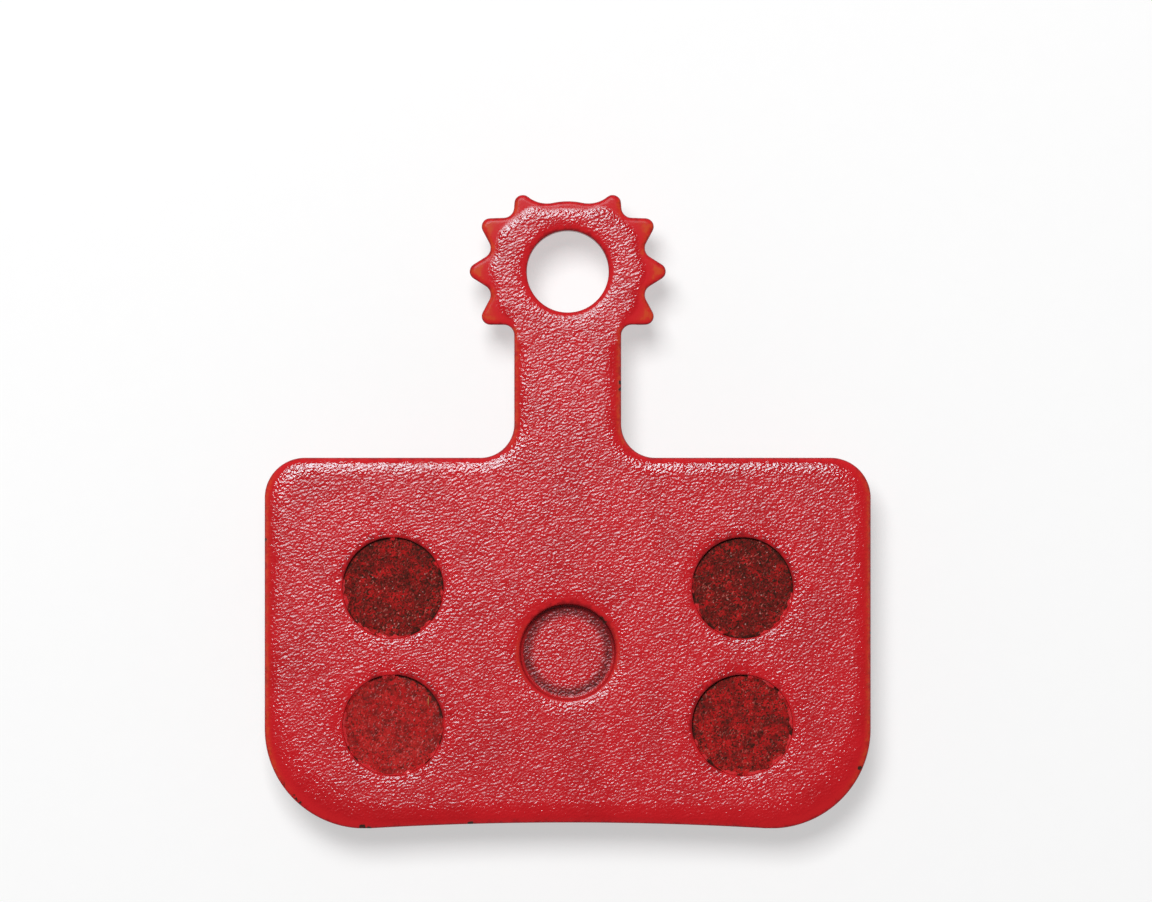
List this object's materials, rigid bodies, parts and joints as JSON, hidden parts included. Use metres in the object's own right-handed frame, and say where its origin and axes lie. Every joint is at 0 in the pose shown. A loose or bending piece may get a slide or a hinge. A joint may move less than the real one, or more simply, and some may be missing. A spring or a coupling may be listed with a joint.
{
  "type": "bicycle disc brake pad",
  "caption": "Disc brake pad: stamped steel backing plate with a toothed lug and pin hole, and a moulded friction lining keyed through it by plugs.",
  "frame": {"origin": "on the friction face, under the centre of the plate's dimple", "axes": "+Z out of the piston side, +Y towards the lug with the pin hole, +X to the right seen from the piston side; the pad is symmetric about x = 0"},
  "size_m": [0.034, 0.0355, 0.004],
  "materials": {
    "powder_coat": "satin",
    "friction_compound": "matte"
  },
  "bodies": {
    "root": {"backing_plate": "powder_coat", "friction_lining": "friction_compound"}
  },
  "joints": []
}
